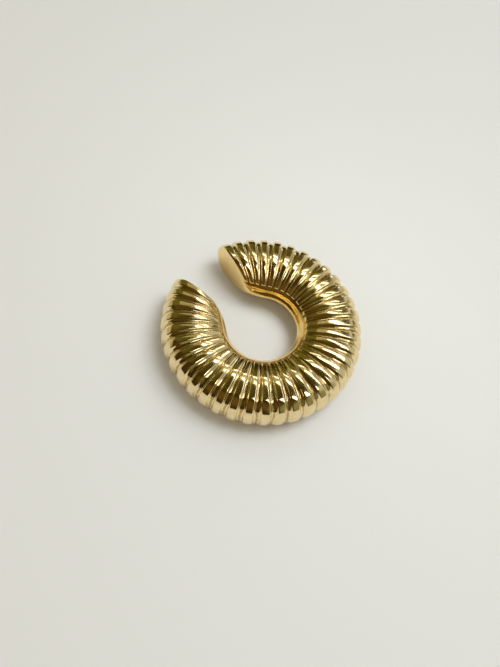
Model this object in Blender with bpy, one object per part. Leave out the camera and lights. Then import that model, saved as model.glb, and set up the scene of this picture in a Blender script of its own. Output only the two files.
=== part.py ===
"""A chunky ribbed ear cuff: one casting, lying on its side.

The ring's axis is +Z and it lies on z = 0. The gap faces -Y. Going round the ring, an angle is
counted from the back of the ring (+Y), and it grows the same way on both sides towards the gap.
Round its section, an angle is 0 at the outside, 90 degrees at the top and 180 degrees in the bore.
"""

import math

import bmesh
import bpy

# The ring's section, in metres
OUTER_RADIUS = 0.012        # rib crests, at the widest line
BORE_RADIUS = 0.00418       # the smooth hole that goes round the rim of the ear
HEIGHT = 0.00524            # from the table to the top, lying down
SHOULDER = 0.00206          # from the widest line in to where the section is highest
CROWN_FLAT = 0.0004         # small flat on the highest and the lowest line
BAND_STEP = 0.00092         # from the bore out to where the ribs stop, seen from above

# The ribs
RIB_COUNT = 35              # whole ribs, without the bead at each end
RIB_DEPTH = 0.00033         # crest to groove, at the widest line
LOWER_RIB_SHARE = 0.4       # depth of the ribs below the widest line, as a share of the depth above
CREST_HALF = 0.1            # half of the flat top of a rib, as a share of the ribs' pitch
END_BEAD = 0.00136          # width of the plain bead at each end, at the widest line
FAN_RIBS = 4                # ribs next to each end that turn from radial to the line of the end face
RIM_STEP = 0.00015          # width of the crisp edge between ribs and bore

# The gap
GAP_WIDTH = 0.0023          # between the planes of the two end faces, at the ring's axis
GAP_SPLAY = math.radians(11.64)  # how far each end face is turned away from the gap's middle line
CORNER_RADIUS = 0.0018      # from an end face round into the bore, seen from above
EDGE_ROUND = 0.0003         # rounding of the rim of an end face

# Fineness of the mesh
OUTER_STEPS = 4             # from the widest line up to the crown
INNER_STEPS = 5             # from the crown down to where the ribs stop
BAND_STEPS = 3              # from there to the middle of the bore
BEAD_STATIONS = (0.25, 0.5, 0.7, 0.88, 0.97, 1.0)  # shares of an end bead's width
BEAD_CREST = 0.5            # share of a bead's width where it reaches its full height
BEAD_ROUND_FROM = 0.7       # share where the rounding of the rim starts
HALVINGS = 40               # of the search for the round corner's line

GOLD = (0.80, 0.58, 0.24, 1.0)


def start_empty():
    """Removes what the file holds, and makes the collection for the cuff."""
    for old in list(bpy.data.objects):
        bpy.data.objects.remove(old, do_unlink=True)
    collection = bpy.data.collections.new("ear_cuff")
    bpy.context.scene.collection.children.link(collection)
    return collection


def gold_material():
    """Polished yellow metal."""
    material = bpy.data.materials.new("polished_gold")
    material.use_nodes = True
    shader = material.node_tree.nodes["Principled BSDF"]
    shader.inputs["Base Color"].default_value = GOLD
    shader.inputs["Metallic"].default_value = 1.0
    shader.inputs["Roughness"].default_value = 0.16
    return material


def end_angle(radius):
    """Angle from the back of the ring to the plane of the end face, at this radius."""
    return math.pi - GAP_SPLAY - math.asin(GAP_WIDTH / 2 / radius)


LAST_GROOVE = end_angle(OUTER_RADIUS) - END_BEAD / OUTER_RADIUS
PITCH = 2 * LAST_GROOVE / RIB_COUNT
LAST_GROOVE_RIBS = RIB_COUNT / 2                      # the last groove, counted in ribs from the back
END_RIBS = LAST_GROOVE_RIBS + END_BEAD / OUTER_RADIUS / PITCH
OUTER_CROWN = OUTER_RADIUS - SHOULDER
INNER_CROWN = OUTER_CROWN - CROWN_FLAT


def ring_angle(station, radius):
    """Angle of a station (counted in ribs from the back), fanned so that the last one is the end face."""
    plain = abs(station) * PITCH
    fan = max(0.0, abs(station) - (END_RIBS - FAN_RIBS)) / FAN_RIBS
    shift = end_angle(radius) - END_RIBS * PITCH
    return math.copysign(plain + shift * fan ** 2, station)


def corner_retreat(station):
    """How far the bore's wall draws back at this station, for the round corner into the end face."""
    def round_corner(retreat):
        radius = BORE_RADIUS + retreat
        to_end = (end_angle(radius) - abs(ring_angle(station, radius))) * radius
        past_start = CORNER_RADIUS - min(CORNER_RADIUS, max(0.0, to_end))
        return CORNER_RADIUS - math.sqrt(CORNER_RADIUS ** 2 - past_start ** 2)

    low, high = 0.0, CORNER_RADIUS
    if round_corner(low) == 0.0:
        return 0.0
    for _ in range(HALVINGS):
        middle = (low + high) / 2
        if round_corner(middle) > middle:
            low = middle
        else:
            high = middle
    return high


def groove_share(station):
    """0 on a crest, 1 in the bottom of a groove."""
    beyond = abs(station) - LAST_GROOVE_RIBS
    if beyond > 0:
        climb = beyond / (END_RIBS - LAST_GROOVE_RIBS) / BEAD_CREST
        return (1 + math.cos(math.pi * min(1.0, climb))) / 2
    nearest_crest = round(station - LAST_GROOVE_RIBS - 0.5) + LAST_GROOVE_RIBS + 0.5
    from_crest = abs(station - nearest_crest)
    slope = max(0.0, from_crest - CREST_HALF) / (0.5 - CREST_HALF)
    return (1 - math.cos(math.pi * slope)) / 2


def rim_inset(station):
    """How far the outline of the section is drawn in, where the rim of the end face is rounded."""
    beyond = (abs(station) - LAST_GROOVE_RIBS) / (END_RIBS - LAST_GROOVE_RIBS)
    if beyond <= BEAD_ROUND_FROM:
        return 0.0
    along = min(1.0, (beyond - BEAD_ROUND_FROM) / (1 - BEAD_ROUND_FROM))
    return EDGE_ROUND * (1 - math.sqrt(1 - along ** 2))


def section_rows():
    """Rows of points round the section: the arc's side, its angle, and whether it has ribs."""
    rows = [("outer", math.pi / 2 * step / OUTER_STEPS, True) for step in range(OUTER_STEPS + 1)]
    stop = math.acos((BORE_RADIUS + BAND_STEP - INNER_CROWN) / (INNER_CROWN - BORE_RADIUS))
    for step in range(INNER_STEPS + 1):
        rows.append(("inner", math.pi / 2 + (stop - math.pi / 2) * step / INNER_STEPS, True))
    slope = math.hypot((INNER_CROWN - BORE_RADIUS) * math.sin(stop), HEIGHT / 2 * math.cos(stop))
    smooth_from = stop + RIM_STEP / slope
    half_step = (math.pi - smooth_from) / (BAND_STEPS + 0.5)
    for step in range(BAND_STEPS + 1):
        rows.append(("inner", smooth_from + half_step * step, False))
    below = [(side, 2 * math.pi - angle, ribbed) for side, angle, ribbed in reversed(rows[1:])]
    return rows + below


def lower_fade(angle):
    """1 above the widest line, falling to LOWER_RIB_SHARE towards the underside."""
    low = max(0.0, -math.sin(angle))
    return 1 - (1 - LOWER_RIB_SHARE) * min(1.0, 2 * low)


def surface_point(station, side, angle, ribbed):
    """A point of the cuff's surface, with the ring's axis at x = y = 0."""
    bore = BORE_RADIUS + corner_retreat(station)
    if side == "outer":
        middle, reach = OUTER_CROWN, SHOULDER
    else:
        middle, reach = INNER_CROWN, INNER_CROWN - bore
    radius = middle + reach * math.cos(angle)
    height = HEIGHT / 2 * (1 + math.sin(angle))
    # the outline's normal, along which ribs and rim are drawn in
    across, up = math.cos(angle) / reach, math.sin(angle) / (HEIGHT / 2)
    size = math.hypot(across, up)
    drawn_in = 0.0
    if ribbed:
        drawn_in = RIB_DEPTH * radius / OUTER_RADIUS * groove_share(station) * lower_fade(angle)
    drawn_in += rim_inset(station) * (1.0 if ribbed else abs(math.sin(angle)))
    radius -= drawn_in * across / size
    height -= drawn_in * up / size
    turn = ring_angle(station, radius)
    return radius * math.sin(turn), radius * math.cos(turn), height


def stations():
    """Stations round the ring, in ribs from the back: five to a rib, then those of the end beads."""
    flank = (0.5 + CREST_HALF) / 2
    ribs = [-LAST_GROOVE_RIBS]
    for number in range(RIB_COUNT):
        crest = number + 0.5 - LAST_GROOVE_RIBS
        ribs += [crest - flank, crest - CREST_HALF, crest + CREST_HALF, crest + flank, crest + 0.5]
    bead = [LAST_GROOVE_RIBS + share * (END_RIBS - LAST_GROOVE_RIBS) for share in BEAD_STATIONS]
    return [-station for station in reversed(bead)] + ribs + bead


def cuff_mesh():
    """A flat grid of quads, rolled round the section and bent round the ring, with its ends filled."""
    places = stations()
    rows = section_rows()
    bm = bmesh.new()
    bmesh.ops.create_grid(bm, x_segments=len(places) - 1, y_segments=len(rows), size=0.5)
    for vertex in bm.verts:
        column = round((vertex.co.x + 0.5) * (len(places) - 1))
        row = round((vertex.co.y + 0.5) * len(rows)) % len(rows)
        vertex.co = surface_point(places[column], *rows[row])
    bmesh.ops.remove_doubles(bm, verts=bm.verts, dist=1e-7)
    open_edges = [edge for edge in bm.edges if edge.is_boundary]
    bmesh.ops.holes_fill(bm, edges=open_edges, sides=0)
    bmesh.ops.recalc_face_normals(bm, faces=bm.faces)
    mesh = bpy.data.meshes.new("ribbed_cuff")
    bm.to_mesh(mesh)
    bm.free()
    return mesh


def add_cuff(collection):
    """The cuff, placed so that the middle of its footprint is at x = y = 0."""
    mesh = cuff_mesh()
    mesh.shade_smooth()
    mesh.set_sharp_from_angle(angle=math.radians(40))
    mesh.materials.append(gold_material())
    cuff = bpy.data.objects.new("ribbed_cuff", mesh)
    depths = [vertex.co.y for vertex in mesh.vertices]
    cuff.location.y = -(min(depths) + max(depths)) / 2
    collection.objects.link(cuff)
    return cuff


add_cuff(start_empty())
bpy.context.view_layer.update()
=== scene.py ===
# %% [markdown]
# # A ribbed gold ear cuff
#
# The piece is one small casting in polished yellow metal: a thick ring with a gap, covered in ribs
# that run from the bore over the top and down the outside, like the coils of a spring. It goes
# round the rim of the ear, and the two smooth end faces leave the gap through which it is slid on.
#
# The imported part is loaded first. It fixes where everything is and how big it is, and this script
# only gives it its looks.

import math

import bpy
import numpy as np
from mathutils import Matrix, Vector


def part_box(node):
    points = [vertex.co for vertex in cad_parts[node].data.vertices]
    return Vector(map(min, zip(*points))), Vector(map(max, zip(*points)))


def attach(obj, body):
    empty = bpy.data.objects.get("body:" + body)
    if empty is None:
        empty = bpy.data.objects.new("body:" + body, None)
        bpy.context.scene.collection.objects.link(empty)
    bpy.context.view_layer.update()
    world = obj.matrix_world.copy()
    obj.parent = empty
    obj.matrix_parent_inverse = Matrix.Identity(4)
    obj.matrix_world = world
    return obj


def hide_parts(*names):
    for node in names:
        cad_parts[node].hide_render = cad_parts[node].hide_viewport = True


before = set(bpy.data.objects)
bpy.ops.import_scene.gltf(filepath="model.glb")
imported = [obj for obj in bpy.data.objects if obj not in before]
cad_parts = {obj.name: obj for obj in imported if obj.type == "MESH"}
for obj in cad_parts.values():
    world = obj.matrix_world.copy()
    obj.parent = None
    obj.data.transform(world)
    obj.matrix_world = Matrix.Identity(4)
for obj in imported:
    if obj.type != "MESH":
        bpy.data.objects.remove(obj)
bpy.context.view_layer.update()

MM = 0.001                 # Blender counts in metres
low, high = (Vector(corner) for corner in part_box("ribbed_cuff"))
print("part, in mm:", [round((b - a) / MM, 2) for a, b in zip(low, high)])

# %% [markdown]
# ## Sizes from the part
#
# The ring's own axis isn't in the middle of its box, because the gap cuts a little off the front.
# The back of the ring is one whole rib, so its crest gives the axis: one outer radius in from the
# box. The bore's radius is the shortest distance from the axis to the part's own mesh.
#
# Reading the sizes off the part, instead of typing them again, means that the looks still fit if
# the part is packed at another size.

# %% Sizes from the part
OUTER_RADIUS = (high.x - low.x) / 2
HEIGHT = high.z - low.z
AXIS = Vector((0.0, high.y - OUTER_RADIUS, 0.0))

part_points = [vertex.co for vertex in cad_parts["ribbed_cuff"].data.vertices]
BORE_RADIUS = min((point - AXIS).xy.length for point in part_points)

print("outer radius %.2f mm, bore radius %.2f mm, height %.2f mm" % (
    OUTER_RADIUS / MM, BORE_RADIUS / MM, HEIGHT / MM))

# %% [markdown]
# ## The section
#
# Cut the ring anywhere and the metal is a plump drop: a tight curve on the outside, a long shallow
# slope from the highest line down to the bore. It could be drawn with a curve object, but two
# quarter ellipses that meet at the highest line are simpler, and every point has a formula.
#
# An angle goes round the section: 0 on the outside, 90 degrees at the top, 180 degrees in the bore.

# %% The outline of the section
SHOULDER = 2.06 * MM       # from the widest line in to where the section is highest
CROWN_FLAT = 0.4 * MM      # small flat on the highest line

outer_crown = OUTER_RADIUS - SHOULDER
inner_crown = outer_crown - CROWN_FLAT


def section_point(angle, bore):
    """Radius, height and outward normal of the plain section. Both inputs may be arrays."""
    outside = np.cos(angle) > 0
    middle = np.where(outside, outer_crown, inner_crown)
    reach = np.where(outside, SHOULDER, inner_crown - bore)
    radius = middle + reach * np.cos(angle)
    height = HEIGHT / 2 * (1 + np.sin(angle))
    across, up = np.cos(angle) / reach, np.sin(angle) / (HEIGHT / 2)
    size = np.hypot(across, up)
    return radius, height, across / size, up / size


print("highest line at radius %.2f to %.2f mm" % (inner_crown / MM, outer_crown / MM))

# %% [markdown]
# ## The gap
#
# The two arms end in plane faces that are turned a little away from each other, and each face runs
# into the bore in a wide round corner, which slides over the ear without catching. The ribs next to
# an end fan out, so that the last one lies along the face instead of being cut off by it.
#
# Round the ring, a place is counted in ribs from the back. The same count is used on both sides.

# %% The gap and the ribs' places round the ring
RIB_COUNT = 35             # whole ribs, without the bead at each end
END_BEAD = 1.36 * MM       # width of the plain bead at each end, at the widest line
FAN_RIBS = 4               # ribs that turn from radial to the line of the end face
GAP_WIDTH = 2.3 * MM       # between the planes of the two faces, at the ring's axis
GAP_SPLAY = math.radians(11.64)  # how far each face is turned away from the gap's middle line
CORNER_RADIUS = 1.8 * MM   # from an end face round into the bore


def end_angle(radius):
    """Angle from the back of the ring to the plane of the end face, at this radius."""
    return np.pi - GAP_SPLAY - np.arcsin(GAP_WIDTH / 2 / radius)


last_groove = end_angle(OUTER_RADIUS) - END_BEAD / OUTER_RADIUS
pitch = 2 * last_groove / RIB_COUNT
groove_ribs = RIB_COUNT / 2
end_ribs = groove_ribs + END_BEAD / OUTER_RADIUS / pitch


def ring_angle(station, radius):
    """Angle of a station, fanned so that the last one is the end face."""
    fan = np.maximum(0.0, abs(station) - (end_ribs - FAN_RIBS)) / FAN_RIBS
    shift = end_angle(radius) - end_ribs * pitch
    return np.copysign(abs(station) * pitch + shift * fan ** 2, station)


print("pitch of the ribs: %.2f mm on the outside" % (pitch * OUTER_RADIUS / MM))

# %% The round corner from the end face into the bore
HALVINGS = 40              # steps of the search, each halving what is left


def corner_retreat(station):
    """How far the bore's wall draws back at each station."""
    def round_corner(retreat):
        radius = BORE_RADIUS + retreat
        to_end = (end_angle(radius) - abs(ring_angle(station, radius))) * radius
        past_start = CORNER_RADIUS - np.clip(to_end, 0.0, CORNER_RADIUS)
        return CORNER_RADIUS - np.sqrt(CORNER_RADIUS ** 2 - past_start ** 2)

    near, far = np.zeros_like(station), np.full_like(station, CORNER_RADIUS)
    for _ in range(HALVINGS):
        middle = (near + far) / 2
        more = round_corner(middle) > middle
        near, far = np.where(more, middle, near), np.where(more, far, middle)
    return far


print("the corner draws back %.2f mm at the face" % (corner_retreat(np.array([end_ribs]))[0] / MM))

# %% [markdown]
# ## The ribs
#
# A rib is a broad soft crest between narrow grooves. On polished metal the eye reads the shape from
# what it reflects: the crests show wide dark bars with square ends, and thin bright lines run down
# the steep flanks. A plain sine wave has no steep flank, so its lines come out wide and blurred.
# Here the profile is nearly flat on the crest, falls in a short S to the groove, and turns there in
# a tight round.
#
# The ribs fade out towards the underside, where the cuff lies on the skin, and stop at a crisp rim
# above the bore.

# %% The profile across a rib
HALF_RIB = 0.5             # from a crest to the middle of a groove, in ribs
RIB_DEPTH = 0.33 * MM      # crest to groove, on the outside
LOWER_RIB_SHARE = 0.4      # depth below the widest line, as a share of the depth above
CREST_CROWN = 0.20         # share of the depth that the crest itself falls, by its rounding
FLANK_START = 0.22         # where the steep flank starts, in ribs from the crest
FLANK_END = 0.35           # where it ends in the groove
BEAD_CREST = 0.5           # share of an end bead's width where it reaches its full height


def rib_profile(from_crest):
    """0 on the crest, 1 in the groove, by the distance from the crest in ribs."""
    crown = CREST_CROWN * (from_crest / HALF_RIB) ** 2
    fall = np.clip((from_crest - FLANK_START) / (FLANK_END - FLANK_START), 0, 1)
    return crown + (1 - CREST_CROWN) * (1 - np.cos(np.pi * fall)) / 2


def crest_distance(station):
    """Distance from the nearest crest, in ribs. An end bead rises once and stays up."""
    crest = np.round(station - groove_ribs - HALF_RIB) + groove_ribs + HALF_RIB
    climb = (abs(station) - groove_ribs) / (end_ribs - groove_ribs) / BEAD_CREST
    on_bead = HALF_RIB - HALF_RIB * np.clip(climb, 0, 1)
    return np.where(climb > 0, on_bead, abs(station - crest))


print("a flank falls %.2f mm over %.2f mm" % (
    RIB_DEPTH * (1 - CREST_CROWN) / MM, (FLANK_END - FLANK_START) * pitch * OUTER_RADIUS / MM))

# %% [markdown]
# ## Rows and columns
#
# The surface is a grid: columns go round the ring, rows go round the section. Both are closer
# together where the shape turns quickly, which is the rounded rim of an end face, the groove, and
# the rim where the ribs stop. With about two dozen columns to a rib, the reflections on the crests
# stay smooth.

# %% Columns round the ring
RIB_COLUMNS = 22           # from one groove to the next
BEAD_COLUMNS = 22          # over the bead at each end
RIM_ROUND = 0.34 * MM      # rounding of the edge round an end face
RIM_ROUND_FROM = 0.72      # where it starts, as a share of the bead's width

ribs = np.linspace(-groove_ribs, groove_ribs, RIB_COUNT * RIB_COLUMNS + 1)
bead_share = np.sin(np.linspace(0, np.pi / 2, BEAD_COLUMNS + 1)[1:])
bead = groove_ribs + bead_share * (end_ribs - groove_ribs)
station = np.concatenate([-bead[::-1], ribs, bead])


def rim_inset(station):
    """How far the whole section is drawn in where the edge of the end face is rounded."""
    along = (abs(station) - groove_ribs) / (end_ribs - groove_ribs)
    along = np.clip((along - RIM_ROUND_FROM) / (1 - RIM_ROUND_FROM), 0, 1)
    return RIM_ROUND * (1 - np.sqrt(1 - along ** 2))


print(len(station), "columns")

# %% Rows round the section
RIB_STOP = 5.098 * MM      # radius at which the ribs stop, seen from above
RIM_WIDTH = 0.16 * MM      # width of the crisp edge between ribs and bore
OUTER_ROWS = 22            # from the widest line up to the crown
INNER_ROWS = 22            # from the crown down to the rim
RIM_ROWS = 4               # over the crisp edge
BAND_ROWS = 10             # from the rim to the middle of the bore
CROWN_ROW_GAP = 1e-6       # radians from the highest line to the row on either side of it

inner_reach = inner_crown - BORE_RADIUS
rib_stop = math.acos((RIB_STOP - inner_crown) / inner_reach)
slope = math.hypot(inner_reach * math.sin(rib_stop), HEIGHT / 2 * math.cos(rib_stop))
band_start = rib_stop + RIM_WIDTH / slope

upper = np.concatenate([
    np.linspace(0, np.pi / 2, OUTER_ROWS, endpoint=False),
    [np.pi / 2 - CROWN_ROW_GAP],
    np.linspace(np.pi / 2 + CROWN_ROW_GAP, rib_stop, INNER_ROWS, endpoint=False),
    np.linspace(rib_stop, band_start, RIM_ROWS, endpoint=False),
    np.linspace(band_start, np.pi, BAND_ROWS, endpoint=False),
])
row_angle = np.concatenate([upper, [np.pi], 2 * np.pi - upper[:0:-1]])
print(len(row_angle), "rows, ribs stop at %.0f degrees" % math.degrees(rib_stop))

# %% [markdown]
# ## The casting
#
# No two ribs of a hand-finished casting are quite alike: the polishing wheel takes a little more
# off one than the next, and the wax that the mould was made from was never perfectly even. Without
# that, the reflections are too regular and the piece looks like a drawing. A few slow sine waves of
# a hundredth of a millimetre are enough, because a polished surface magnifies every error. The
# ribs' own lines were carved by hand too, so the same kind of waves lets them wander sideways a
# little.

# %% Unevenness of the casting
# ribs to one wave, turns round the section, height, start
SURFACE_WAVES = (
    (3.7, 2, 0.010 * MM, 0.3),
    (2.3, 3, 0.006 * MM, 2.1),
    (1.3, 5, 0.004 * MM, 4.4),
    (9.1, 1, 0.014 * MM, 1.2),
)
# ribs to one wave, turns round the section, sideways shift in ribs, start
RIB_WANDER = (
    (4.7, 1, 0.035, 0.9),
    (2.9, 3, 0.020, 2.2),
    (1.9, 2, 0.018, 4.0),
)


def sum_of_waves(waves, station, angle):
    """Sine waves added up, made so that they meet themselves round the section."""
    total = np.zeros(np.broadcast(station, angle).shape)
    for length, turns, size, start in waves:
        total = total + size * np.sin(2 * np.pi * station / length + turns * angle + start)
    return total


highest_wave = sum(size for _, _, size, _ in SURFACE_WAVES)
print("the surface rises and falls by up to %.3f mm" % (highest_wave / MM))

# %% [markdown]
# ## The skin and its plain band
#
# Between the ribs and the bore runs a plain band, smoothed so that nothing scratches the ear. On
# the far side it glows orange, because the light has bounced from gold to gold before it reaches
# the eye, and gold keeps more of the red each time. That only happens where the band is fairly
# straight from top to bottom, so a little metal is taken off its bulge.
#
# The band could be a ring of its own, but then there would be a seam. In one grid the ribs simply
# fade out over the narrow rim, and everything is drawn in from the plain section along its normal.
# Nothing is ever added outside, so the skin stays inside the part.

# %% The skin of the cuff
FADE_SHARPNESS = 2         # how quickly the ribs get shallower below the widest line
BAND_FLAT = 0.17 * MM      # metal taken off the bulge of the band between ribs and bore
BAND_FLAT_TO = 0.93        # how far up the band that goes, as a share
BAND_ENDS = 1.5            # ribs over which the band gets its bulge back at each end


def cuff_surface(station, angle):
    """Points of the cuff's surface and how near to a groove each one is, for columns by rows."""
    station, angle = station[:, None], angle[None, :]
    bore = BORE_RADIUS + corner_retreat(station)
    radius, height, across, up = section_point(angle, bore)

    # the ribs, shallower on the underside and gone below the rim
    lower = np.clip(-np.sin(angle) * FADE_SHARPNESS, 0, 1)
    fade = 1 - (1 - LOWER_RIB_SHARE) * lower
    from_bore = abs(angle - np.pi)
    rim = np.clip((from_bore - (np.pi - band_start)) / (band_start - rib_stop), 0, 1)
    ribbed = (1 - np.cos(np.pi * rim)) / 2
    from_crest = crest_distance(station + sum_of_waves(RIB_WANDER, station, angle))
    groove = rib_profile(from_crest) * ribbed

    # the band starts at the depth of the grooves, and its bulge is taken down
    up_the_band = np.clip(from_bore / (np.pi - band_start), 0, 1)
    band = (1 - ribbed) * up_the_band ** 2
    drawn_in = RIB_DEPTH * radius / OUTER_RADIUS * (groove + band) * fade
    to_end = np.clip((end_ribs - abs(station)) / BAND_ENDS, 0, 1)
    flattened = np.sin(np.pi * np.clip(up_the_band / BAND_FLAT_TO, 0, 1)) ** 2
    drawn_in = drawn_in + BAND_FLAT * to_end * flattened

    # the rounded rim of the end faces, and the waves
    drawn_in = drawn_in + rim_inset(station) * (ribbed + (1 - ribbed) * abs(np.sin(angle)))
    drawn_in = drawn_in + sum_of_waves(SURFACE_WAVES, station, angle) + highest_wave
    radius = radius - drawn_in * across
    height = height - drawn_in * up
    turn = ring_angle(station, radius)
    points = np.stack([radius * np.sin(turn), radius * np.cos(turn), height], axis=-1)
    return points + np.array(AXIS), from_crest / HALF_RIB * ribbed


skin, groove_nearness = cuff_surface(station, row_angle)
print("skin of", skin.shape[0] * skin.shape[1], "points")

# %% [markdown]
# ## The end faces
#
# Each face is closed by shrinking the section's outline towards its middle, ring by ring. One big
# polygon would do for a flat face, but the real ones are domed a little by the polishing, which
# bends the reflections near their edge.

# %% Close the two ends
FACE_RINGS = 10            # steps from the edge of a face to its middle
FACE_DOME = 0.05 * MM      # how far the middle of a face stands proud of its edge


def face_rings(outline):
    """Rings of points from an end's outline to its middle, and the middle point."""
    centre = outline.mean(axis=0)
    steps = np.linspace(0, 1, FACE_RINGS, endpoint=False)[1:]
    quarter = len(outline) // 4
    normal = np.cross(outline[0] - centre, outline[quarter] - centre)
    normal = normal / np.linalg.norm(normal)
    rings = [outline + (centre - outline) * step + normal * FACE_DOME * (1 - (1 - step) ** 2)
             for step in steps]
    return rings, centre + normal * FACE_DOME


print("each face has", FACE_RINGS, "rings")

# %% [markdown]
# ## One closed mesh
#
# The real cuff is a single casting, so the skin and the two faces share their points and close
# without a seam. A modeller could draw the section once and let Blender's Screw or Array modifier
# carry it round, but the fan of the ribs and the round corners change it at every step. Lists of
# points and faces give full control, and Blender makes a mesh of them in one call. How near each
# point is to a groove goes along as an attribute, which the metal reads later.

# %% Build the mesh
GROOVE_ATTRIBUTE = "groove"
ANGLE_SLACK = 1e-9         # for comparing the angles of rows


def grid_faces(first, second, rows):
    """Quads between two columns of points, given as the index of each one's first point."""
    return [(first + row, first + (row + 1) % rows, second + (row + 1) % rows, second + row)
            for row in range(rows)]


def cuff_mesh():
    """The skin and the two closed ends as one mesh."""
    columns, rows = skin.shape[:2]
    points = [skin.reshape(-1, 3)]
    faces = []
    for column in range(columns - 1):
        faces += grid_faces(column * rows, (column + 1) * rows, rows)
    count = columns * rows
    for end, turned in ((0, True), (columns - 1, False)):
        rings, middle = face_rings(skin[end] if not turned else skin[end][::-1])
        if turned:
            rings = [ring[::-1] for ring in rings]
        before = end * rows
        for ring in rings:
            points.append(ring)
            faces += grid_faces(count, before, rows) if turned else grid_faces(before, count, rows)
            before = count
            count += rows
        points.append(middle[None, :])
        for row in range(rows):
            edge = (before + row, before + (row + 1) % rows)
            faces.append((edge[1], edge[0], count) if turned else (edge[0], edge[1], count))
        count += 1
    mesh = bpy.data.meshes.new("ribbed_cuff_skin")
    mesh.from_pydata(np.concatenate(points).tolist(), [], faces)
    groove = mesh.attributes.new(GROOVE_ATTRIBUTE, "FLOAT", "POINT")
    nearness = np.zeros(count)
    nearness[:groove_nearness.size] = groove_nearness.ravel()
    groove.data.foreach_set("value", nearness)
    return mesh


def smooth_face_list():
    """1 for a face of the bore or of an end and 0 for a ribbed one, in the mesh's own order."""
    columns, rows = skin.shape[:2]
    last = 2 * np.pi - band_start - ANGLE_SLACK
    in_bore = [int(band_start <= angle <= last) for angle in row_angle]
    ends = len(cuff_skin.polygons) - (columns - 1) * rows
    return in_bore * (columns - 1) + [1] * ends


cuff_skin = cuff_mesh()
cuff_skin.shade_smooth()
smooth_faces = smooth_face_list()
triangles = sum(len(face.vertices) - 2 for face in cuff_skin.polygons)
print(len(cuff_skin.vertices), "points,", triangles, "triangles")

# %% Put the cuff in the scene
cuff = bpy.data.objects.new("ribbed_cuff_polished", cuff_skin)
bpy.context.scene.collection.objects.link(cuff)
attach(cuff, "root")
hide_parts("ribbed_cuff")
print(cuff.name, "measures", [round(side / MM, 2) for side in cuff.dimensions], "mm")

# %% [markdown]
# ## The metal
#
# The cuff is yellow metal polished to a mirror and then worn for a while. Close up, four things
# keep it from looking like plastic: the skin of the casting is never quite flat, fine lines are
# left by the polishing, the bottoms of the grooves are painted brown as painted shade and painted
# reflection, for the shadow in them and the gold they mirror, and some patches are rubbed a little
# paler. A painted picture of these could be wrapped round the ring, but it would stretch in the fan
# of the ribs. Noise in the metal's own space has no seam and no stretch, so it is used here.
#
# Each effect is a node group with named inputs, because two finishes share them: the ribbed gold,
# and the smoother gold of the bore and of the end faces. The shader itself stays in the material.

# %% A helper for node groups
def new_group(name, inputs, outputs):
    """An empty shader node group. Inputs are (name, kind, default), outputs are (name, kind)."""
    group = bpy.data.node_groups.new(name, "ShaderNodeTree")
    for label, kind, value in inputs:
        socket = group.interface.new_socket(label, in_out="INPUT", socket_type=kind)
        if value is not None:
            socket.default_value = value
    for label, kind in outputs:
        group.interface.new_socket(label, in_out="OUTPUT", socket_type=kind)
    return group, group.nodes.new("NodeGroupInput"), group.nodes.new("NodeGroupOutput")


NUMBER, COLOUR, VECTOR = "NodeSocketFloat", "NodeSocketColor", "NodeSocketVector"
print("kinds of socket:", NUMBER, COLOUR, VECTOR)

# %% [markdown]
# ### Small helpers
#
# The same few nodes come back in every group, so each gets a helper. What goes into a socket may be
# a number, a colour, or the output of another node. `plug` tells them apart, and `feed` fills
# several sockets by name.

# %% Helpers for single nodes
def plug(tree, socket, value):
    """Links another node's output to a socket, or sets the socket's own number or colour."""
    if isinstance(value, bpy.types.NodeSocket):
        tree.links.new(value, socket)
    else:
        socket.default_value = value


def feed(tree, node, **values):
    """Puts each value into the node's socket of that name. An underscore stands for a space."""
    for label, value in values.items():
        plug(tree, node.inputs[label.replace("_", " ")], value)
    return node


def noise(tree, place, scale, detail):
    """A noise texture. Gives back the node."""
    node = tree.nodes.new("ShaderNodeTexNoise")
    return feed(tree, node, Vector=place, Scale=scale, Detail=detail)


def colour_mix(tree, factor, first, second):
    """A Mix node between two colours. Gives back its output."""
    node = tree.nodes.new("ShaderNodeMix")
    node.data_type = "RGBA"
    return feed(tree, node, Factor=factor, A=first, B=second).outputs["Result"]


def math_node(tree, operation, first, second):
    """A Math node, whose two inputs both have the same name. Gives back its output."""
    node = tree.nodes.new("ShaderNodeMath")
    node.operation = operation
    for socket, value in zip(node.inputs, (first, second)):
        plug(tree, socket, value)
    return node.outputs["Value"]


def ramp_between(tree, value, start, end):
    """A soft step from 0 at start to 1 at end."""
    node = tree.nodes.new("ShaderNodeMapRange")
    node.interpolation_type = "SMOOTHSTEP"
    return feed(tree, node, Value=value, From_Min=start, From_Max=end).outputs["Result"]


helpers = (plug, feed, noise, colour_mix, math_node, ramp_between)
print("helpers:", [helper.__name__ for helper in helpers])

# %% [markdown]
# ### The skin of the casting
#
# Molten metal shrinks as it sets, and leaves dimples about as wide as a grain of sand. Polishing
# takes most of them, and what is left only makes a reflection tremble. A few deeper ones stay as
# tiny pits. Soft noise gives the dimples. The pits are the middles of the cells in a cell pattern,
# kept only where another noise is high, so that they are rare and lie unevenly.

# %% Group: casting skin
DIMPLE_DETAIL, DIMPLE_ROUGHNESS = 3.0, 0.45
RARE_PER_MM, RARE_DETAIL = 0.7, 2.0    # the noise that says where pits may be
RARE_FROM, RARE_TO = 0.56, 0.62        # how high it has to be for them


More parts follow.
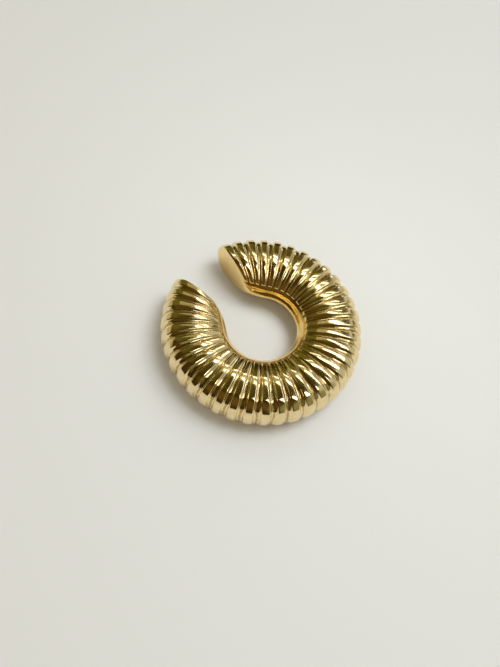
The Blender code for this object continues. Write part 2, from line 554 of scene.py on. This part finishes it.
def casting_skin_group():
    """Height and pits of the cast surface."""
    group, given, out = new_group(
        "casting_skin",
        [("Place", VECTOR, None), ("Dimples per mm", NUMBER, 2.0), ("Pits per mm", NUMBER, 1.2),
         ("Pit Size", NUMBER, 0.08)],
        [("Height", NUMBER), ("Pits", NUMBER)])
    place = given.outputs["Place"]
    dimples = noise(group, place, given.outputs["Dimples per mm"], DIMPLE_DETAIL)
    feed(group, dimples, Roughness=DIMPLE_ROUGHNESS)
    cells = group.nodes.new("ShaderNodeTexVoronoi")
    feed(group, cells, Vector=place, Scale=given.outputs["Pits per mm"])
    rare = noise(group, place, RARE_PER_MM, RARE_DETAIL).outputs["Fac"]
    spot = math_node(group, "LESS_THAN", cells.outputs["Distance"], given.outputs["Pit Size"])
    pits = math_node(group, "MULTIPLY", spot, ramp_between(group, rare, RARE_FROM, RARE_TO))
    height = math_node(group, "SUBTRACT", dimples.outputs["Fac"], pits)
    feed(group, out, Height=height, Pits=pits)
    return group


casting_skin = casting_skin_group()
print("group", casting_skin.name, "puts out",
      [item.name for item in casting_skin.interface.items_tree if item.in_out == "OUTPUT"])

# %% [markdown]
# ### Polishing marks
#
# A polishing wheel leaves hair-thin lines that all run about the same way, and wear adds more
# across them. Noise that is stretched a lot in one direction looks just like that. Two layers are
# laid across each other, and a broad noise decides where they show, because a hand never rubs
# evenly.

# %% Group: polishing marks
MARK_STRETCH = (0.12, 1.0, 0.35)   # scale along, across and up, so that a mark is long and thin
MARK_TURNS = ((0.4, 0.2, 0.35), (0.4, 0.2, 1.75))  # of the two layers, in radians
MARK_DETAIL = 2.0
PATCHES_PER_MM = 0.5               # the broad noise that says where marks show most
PATCH_FROM, PATCH_TO = 0.35, 0.65  # how high it is where marks start to show, and where all do
FAINT_MARKS, STRONG_MARKS = 0.15, 0.6  # heights of a mark that count as smooth and as rubbed


def polishing_marks_group():
    """Height and roughness of fine lines left by polishing and wear."""
    group, given, out = new_group(
        "polishing_marks",
        [("Place", VECTOR, None), ("Marks per mm", NUMBER, 14.0), ("Smooth", NUMBER, 0.06),
         ("Rubbed", NUMBER, 0.12)],
        [("Height", NUMBER), ("Roughness", NUMBER)])
    layers = []
    for turn in MARK_TURNS:
        place = group.nodes.new("ShaderNodeMapping")
        feed(group, place, Vector=given.outputs["Place"], Rotation=turn, Scale=MARK_STRETCH)
        lines = noise(group, place.outputs["Vector"], given.outputs["Marks per mm"], MARK_DETAIL)
        layers.append(lines.outputs["Fac"])
    patches = noise(group, given.outputs["Place"], PATCHES_PER_MM, MARK_DETAIL).outputs["Fac"]
    both = math_node(group, "MULTIPLY", layers[0], layers[1])
    worn = math_node(group, "ADD", ramp_between(group, patches, PATCH_FROM, PATCH_TO), 1.0)
    rough = group.nodes.new("ShaderNodeMapRange")
    feed(group, rough, Value=math_node(group, "MULTIPLY", both, worn),
         From_Min=FAINT_MARKS, From_Max=STRONG_MARKS,
         To_Min=given.outputs["Smooth"], To_Max=given.outputs["Rubbed"])
    feed(group, out, Height=both, Roughness=rough.outputs["Result"])
    return group


polishing_marks = polishing_marks_group()
print("group", polishing_marks.name, "has", len(polishing_marks.nodes), "nodes")

# %% [markdown]
# ### Painted groove shade and rubbing
#
# The bottom of each groove is painted darker and redder: painted shade for the shadow down in the
# groove, and painted reflection for the gold that it mirrors there. This painted shade breaks up
# into blotches towards the crest. The mesh carries a value for how near to the middle of a groove
# each point is, so the painted shade follows the ribs wherever they turn. The pits get the same
# dark brown. The noise that makes the blotches also says which patches are rubbed paler.

# %% Group: painted groove shade, pits and rubbing
BLOTCHES_PER_MM, BLOTCH_DETAIL = 1.6, 4.0
BLOTCH_MIDDLE = 0.5                # what the noise is on average
BLOTCH_SPREAD = 0.5                # how far blotches push the edge of the painted groove shade in or out
SHADE_EDGE = 0.16                # width of that edge, where 1 is from crest to groove
RUB_FROM, RUB_TO = 0.35, 0.7       # how high the noise is where rubbing starts, and where full


def shade_pits_and_wear_group():
    """Colour of the metal, from clean to painted groove shade, and how much painted shade or pit
    there is.
    """
    group, given, out = new_group(
        "shade_pits_and_wear",
        [("Place", VECTOR, None), ("Groove", NUMBER, 0.0), ("Pits", NUMBER, 0.0),
         ("Clean", COLOUR, None), ("Rubbed", COLOUR, None), ("Tarnished", COLOUR, None),
         ("From", NUMBER, 0.6), ("Amount", NUMBER, 0.8)],
        [("Colour", COLOUR), ("Tarnish", NUMBER)])
    blotches = noise(group, given.outputs["Place"], BLOTCHES_PER_MM, BLOTCH_DETAIL).outputs["Fac"]
    off_middle = math_node(group, "SUBTRACT", blotches, BLOTCH_MIDDLE)
    uneven = math_node(group, "MULTIPLY", off_middle, BLOTCH_SPREAD)
    nearness = math_node(group, "ADD", given.outputs["Groove"], uneven)
    past_edge = math_node(group, "SUBTRACT", nearness, given.outputs["From"])
    in_groove = ramp_between(group, past_edge, 0.0, SHADE_EDGE)
    # painted shade and painted reflection: darkens the bottom of each groove
    dark = math_node(group, "MULTIPLY", in_groove, given.outputs["Amount"])
    shade_or_pit = math_node(group, "MAXIMUM", dark, given.outputs["Pits"])
    rub = ramp_between(group, blotches, RUB_FROM, RUB_TO)
    clean = colour_mix(group, rub, given.outputs["Clean"], given.outputs["Rubbed"])
    colour = colour_mix(group, shade_or_pit, clean, given.outputs["Tarnished"])
    feed(group, out, Colour=colour, Tarnish=shade_or_pit)
    return group


shade_pits_and_wear = shade_pits_and_wear_group()
print("group", shade_pits_and_wear.name, "has", len(shade_pits_and_wear.nodes), "nodes")

# %% [markdown]
# ### The two finishes
#
# Both finishes have the same shader: fully metallic, with a base colour that is the colour of the
# reflection itself. They differ in the colours and numbers that go into the groups. The bore and
# the end faces were filed flat and rubbed by the ear, so they are a little duller than the ribs.
# Their gold is painted redder, a painted reflection of the light that bounces from gold to gold in
# the bore, and they get hardly any painted groove shade. Two separate shaders would do as well, but
# then every change would have to be made twice.

# %% Gold finishes
CLEAN_GOLD = (0.86, 0.69, 0.385, 1.0)
PALE_GOLD = (0.93, 0.76, 0.43, 1.0)       # clean gold where it is rubbed
# painted reflection: redder for light bounced from gold to gold in the bore; the end faces share it
BOUNCE_REDDENED_GOLD = (0.98, 0.71, 0.27, 1.0)
RUBBED_BOUNCE_REDDENED_GOLD = (0.98, 0.74, 0.33, 1.0)      # the same redder gold where it is rubbed
# painted shade and painted reflection in the grooves, and the colour of the pits
SHADE_AND_PIT_BROWN = (0.46, 0.29, 0.09, 1.0)
SKIN_DEPTH = 0.0035 * MM       # how deep the dimples are
MARK_DEPTH = 0.0006 * MM       # how deep the polishing marks are
GROOVE_AND_PIT_DULLS = 0.12           # roughness that full painted groove shade, or a pit, adds


def placed(tree, group, **values):
    """The group as a node of a material, with its own values. Gives back its outputs."""
    node = tree.nodes.new("ShaderNodeGroup")
    node.node_tree = group
    return feed(tree, node, **values).outputs


def gold_finish(name, clean, worn, smooth, rubbed, shade_from, shade_amount):
    """Polished metal with dimples, polishing marks, and painted shade in the grooves."""
    material = bpy.data.materials.new(name)
    material.use_nodes = True
    tree = material.node_tree
    in_metres = tree.nodes.new("ShaderNodeTexCoord").outputs["Object"]
    in_mm = tree.nodes.new("ShaderNodeVectorMath")
    in_mm.operation = "SCALE"
    feed(tree, in_mm, Vector=in_metres, Scale=1 / MM)
    place = in_mm.outputs["Vector"]
    groove = tree.nodes.new("ShaderNodeAttribute")
    groove.attribute_name = GROOVE_ATTRIBUTE

    dimples = placed(tree, casting_skin, Place=place)
    marks = placed(tree, polishing_marks, Place=place, Smooth=smooth, Rubbed=rubbed)
    colour = placed(tree, shade_pits_and_wear, Place=place, Groove=groove.outputs["Fac"], Pits=dimples["Pits"],
                    Clean=clean, Rubbed=worn, Tarnished=SHADE_AND_PIT_BROWN,
                    From=shade_from, Amount=shade_amount)
    dulled = math_node(tree, "MULTIPLY", colour["Tarnish"], GROOVE_AND_PIT_DULLS)
    roughness = math_node(tree, "ADD", marks["Roughness"], dulled)

    skin_bump, mark_bump = (tree.nodes.new("ShaderNodeBump") for _ in range(2))
    feed(tree, skin_bump, Height=dimples["Height"], Distance=SKIN_DEPTH)
    feed(tree, mark_bump, Height=marks["Height"], Distance=MARK_DEPTH,
         Normal=skin_bump.outputs["Normal"])
    feed(tree, tree.nodes["Principled BSDF"], Metallic=1.0, Base_Color=colour["Colour"],
         Roughness=roughness, Normal=mark_bump.outputs["Normal"])
    return material


FINISHES = (
    gold_finish("ribbed_gold", clean=CLEAN_GOLD, worn=PALE_GOLD, smooth=0.06, rubbed=0.11,
                shade_from=0.78, shade_amount=0.9),
    gold_finish("smooth_gold", clean=BOUNCE_REDDENED_GOLD, worn=RUBBED_BOUNCE_REDDENED_GOLD, smooth=0.11, rubbed=0.22,
                shade_from=1.2, shade_amount=0.8),
)
for finish in FINISHES:
    cuff_skin.materials.append(finish)
cuff_skin.polygons.foreach_set("material_index", smooth_faces)
print("finishes:", [finish.name for finish in FINISHES], "smooth faces:", sum(smooth_faces))

# %% [markdown]
# ## The camera
#
# The photograph was taken from close by, looking steeply down. A camera could be aimed at the cuff
# with a Track To constraint, but that always puts it in the middle of the frame. Here the camera is
# placed by where the ring's centre is in the picture and how far away it is, so the cuff sits where
# the photograph has it.

# %% The camera
PHOTO = (500, 667)                     # width and height of the frame
VIEW_DOWN = math.radians(62.585)       # how far below level the camera looks
VIEW_TURN = math.radians(212.1)        # the way it looks, seen from above, counted from +X
VIEW_ROLL = math.radians(-14.308)      # how far the camera is tipped to one side
FOCAL = 650                            # focal length, in pixels of the frame
CENTRE_AT = (259.025, 337.868)         # where the ring's centre on the floor is in the frame
CENTRE_DEPTH = 79.721 * MM             # its distance, along the line of view
SENSOR = 36                            # of a full-frame camera, in millimetres


def place_camera():
    """A camera that sees the ring's centre at its place in the frame."""
    ahead = Vector((math.cos(VIEW_TURN) * math.cos(VIEW_DOWN),
                    math.sin(VIEW_TURN) * math.cos(VIEW_DOWN),
                    -math.sin(VIEW_DOWN)))
    level = Vector((math.sin(VIEW_TURN), -math.cos(VIEW_TURN), 0.0))
    down = ahead.cross(level)
    right = level * math.cos(VIEW_ROLL) + down * math.sin(VIEW_ROLL)
    down = down * math.cos(VIEW_ROLL) - level * math.sin(VIEW_ROLL)
    across = (CENTRE_AT[0] - PHOTO[0] / 2) / FOCAL
    below = (CENTRE_AT[1] - PHOTO[1] / 2) / FOCAL
    camera = bpy.data.objects.new("camera", bpy.data.cameras.new("camera"))
    camera.data.sensor_width = SENSOR
    camera.data.lens = FOCAL / max(PHOTO) * SENSOR
    camera.data.clip_start = MM
    turn = Matrix((right, -down, -ahead)).transposed().to_4x4()
    camera.matrix_world = turn
    camera.location = AXIS - (ahead + right * across + down * below) * CENTRE_DEPTH
    bpy.context.scene.collection.objects.link(camera)
    bpy.context.scene.camera = camera
    return camera


camera = place_camera()
print("camera at", [round(c / MM, 1) for c in camera.location], "mm")

# %% [markdown]
# ## The floor
#
# The floor is part of the look of the metal, because the lower half of every rib reflects it. It is
# a big plain square, pale and matt, so the outer ribs turn cream all the way round, and the
# reflection ends in a sharp line at the horizon.

# %% The floor
FLOOR_HALF = 0.6                       # half the floor's side, in metres
FLOOR_COLOUR = (0.80, 0.795, 0.775, 1.0)
FLOOR_ROUGHNESS, FLOOR_SHINE = 0.8, 0.2


def add_floor():
    """A plain square floor, which isn't part of the cuff."""
    corners = [(x * FLOOR_HALF, y * FLOOR_HALF, 0.0)
               for x, y in ((-1, -1), (1, -1), (1, 1), (-1, 1))]
    mesh = bpy.data.meshes.new("floor")
    mesh.from_pydata(corners, [], [(0, 1, 2, 3)])
    material = bpy.data.materials.new("pale_floor")
    material.use_nodes = True
    tree = material.node_tree
    feed(tree, tree.nodes["Principled BSDF"], Base_Color=FLOOR_COLOUR,
         Roughness=FLOOR_ROUGHNESS, Specular_IOR_Level=FLOOR_SHINE)
    mesh.materials.append(material)
    floor = bpy.data.objects.new("floor", mesh)
    bpy.context.scene.collection.objects.link(floor)
    return floor


print("floor", add_floor().dimensions.x, "m wide")

# %% [markdown]
# ## The light
#
# Polished metal has no colour of its own to show: it shows the room. So lighting it means placing
# what it reflects. White softboxes give the glints: they are area lights with sharp edges, and
# their thin reflections down the flanks of the ribs are what reads as a mirror polish. An HDR
# picture of a room would do as well, but a few lights can be moved one at a time until each glint
# sits where it should.
#
# How far away a softbox stands matters as much as its direction. A far one makes the same glint on
# every rib. A near one, a few centimetres up like a small lamp over a workbench, is seen in another
# direction from each side of the ring, so its glint wanders from rib to rib as it does on the real
# piece. The floor needs a light of its own, which the metal isn't allowed to reflect.

# %% A softbox in a given direction
def towards(azimuth, elevation):
    """Direction from the cuff. Azimuth 0 is the picture's right, 90 is away from the camera."""
    turn = VIEW_TURN - math.pi / 2 + math.radians(azimuth)
    rise = math.radians(elevation)
    level = math.cos(rise)
    return Vector((math.cos(turn) * level, math.sin(turn) * level, math.sin(rise)))


def add_softbox(name, start, end, width, distance, brightness, colour):
    """A light that reaches from one direction to another, and is so many degrees wide."""
    first, last = towards(*start), towards(*end)
    middle = (first + last).normalized()
    length = 2 * distance * math.tan(first.angle(last) / 2)
    breadth = 2 * distance * math.tan(math.radians(width) / 2)
    light = bpy.data.lights.new(name, "AREA")
    light.shape = "RECTANGLE"
    light.size, light.size_y = length, breadth
    light.energy = brightness * length * breadth * math.pi
    light.color = colour
    lamp = bpy.data.objects.new(name, light)
    along = (last - first).normalized()
    lamp.matrix_world = Matrix((along, middle.cross(along), middle)).transposed().to_4x4()
    lamp.location = AXIS + middle * distance
    lamp.visible_camera = False
    bpy.context.scene.collection.objects.link(lamp)
    return lamp


print("the picture's right is", [round(part, 2) for part in towards(0, 0)])

# %% The softboxes
WHITE = (0.94, 0.97, 1.0)
COOL_WHITE = (0.85, 0.93, 1.0)
YELLOW_WHITE = (1.0, 0.95, 0.55)
FAR = 0.45                 # distances from the ring's axis, in metres
MIDDLE = 0.12
NEAR = 0.041
BEHIND_NEAR = 0.043
CLOSE = 0.036
# name, from and to (azimuth, elevation), width, distance, brightness, colour
SOFTBOXES = (
    ("overhead_window", (60, 77), (-14, 57), 10.5, MIDDLE, 3.2, WHITE),
    ("far_window", (94, 62), (14, 50), 4.5, NEAR, 3.4, WHITE),
    ("far_panel", (96, 53), (98, 66), 34, BEHIND_NEAR, 0.3, YELLOW_WHITE),
    ("low_window", (114, 53), (60, 53), 2.0, CLOSE, 2.9, WHITE),
    ("side_window", (70, 16), (74, 40), 4, FAR, 1.8, WHITE),
)
for softbox in SOFTBOXES:
    add_softbox(*softbox)

fill = add_softbox("floor_fill", (64, 66), (4, 62), 34, FAR, 5.4, COOL_WHITE)
fill.visible_glossy = False
print(len(SOFTBOXES) + 1, "area lights")

# %% [markdown]
# ### The rest of the room
#
# The rest of the room has no edges: pale walls to the right, a lower pale wall to the left, and dim
# warm tones on the camera's side. Each is a soft round glow in the world's colour, in a direction
# and with an inner and an outer radius. The matt floor would pick up this patchy light as a stain,
# so every ray that isn't a mirror reflection meets an even pale sky instead, which also keeps the
# shadow soft. The sky is a little warm and the floor's own light a little cool: together they leave
# the open floor neutral, while the shadow, which only the sky reaches, takes the warm tint that
# light off the gold gives it.

# %% The room
ROOM = (0.045, 0.030, 0.005, 1.0)      # what a mirror reflection meets where no glow is
SKY = (0.48, 0.44, 0.355, 1.0)         # what every other ray meets
# name, azimuth, elevation, inner and outer radius, colour
GLOWS = (
    ("pale walls", 28, 20, 34, 56, (0.56, 0.565, 0.48, 1.0)),
    ("olive corner", 128, 36, 16, 44, (0.13, 0.115, 0.02, 1.0)),
    ("brown shelf", 44, 28, 6, 13, (0.20, 0.15, 0.05, 1.0)),
    ("dark doorway", 94, 6, 12, 26, (0.035, 0.03, 0.004, 1.0)),
    ("left wall", 168, 0, 22, 32, (0.50, 0.44, 0.24, 1.0)),
    ("warm front", 262, 50, 14, 38, (0.12, 0.068, 0.012, 1.0)),
    ("grey front", 328, 22, 10, 38, (0.26, 0.25, 0.11, 1.0)),
)


def add_glow(tree, direction, below, azimuth, elevation, inner, outer, colour):
    """One soft round glow, mixed over the colour that is already there."""
    dot = tree.nodes.new("ShaderNodeVectorMath")
    dot.operation = "DOT_PRODUCT"
    plug(tree, dot.inputs[0], direction)
    plug(tree, dot.inputs[1], towards(azimuth, elevation))
    no_glow, full_glow = math.cos(math.radians(outer)), math.cos(math.radians(inner))
    edge = ramp_between(tree, dot.outputs["Value"], no_glow, full_glow)
    return colour_mix(tree, edge, below, colour)


def room_light():
    """A dim room with soft glows for mirror reflections, and an even sky for the rest."""
    world = bpy.data.worlds.new("studio")
    world.use_nodes = True
    tree = world.node_tree
    direction = tree.nodes.new("ShaderNodeTexCoord").outputs["Generated"]
    colour = ROOM
    for _, azimuth, elevation, inner, outer, glow in GLOWS:
        colour = add_glow(tree, direction, colour, azimuth, elevation, inner, outer, glow)
    sky = feed(tree, tree.nodes["Background"], Color=SKY)
    room = feed(tree, tree.nodes.new("ShaderNodeBackground"), Color=colour)
    in_mirror = tree.nodes.new("ShaderNodeLightPath").outputs["Is Glossy Ray"]
    mix = feed(tree, tree.nodes.new("ShaderNodeMixShader"), Fac=in_mirror)
    plug(tree, mix.inputs[1], sky.outputs["Background"])
    plug(tree, mix.inputs[2], room.outputs["Background"])
    feed(tree, tree.nodes["World Output"], Surface=mix.outputs["Shader"])
    bpy.context.scene.world = world
    return world


print("room with", len(GLOWS), "glows,", len(room_light().node_tree.nodes), "nodes")
bpy.context.scene.view_settings.view_transform = "Standard"
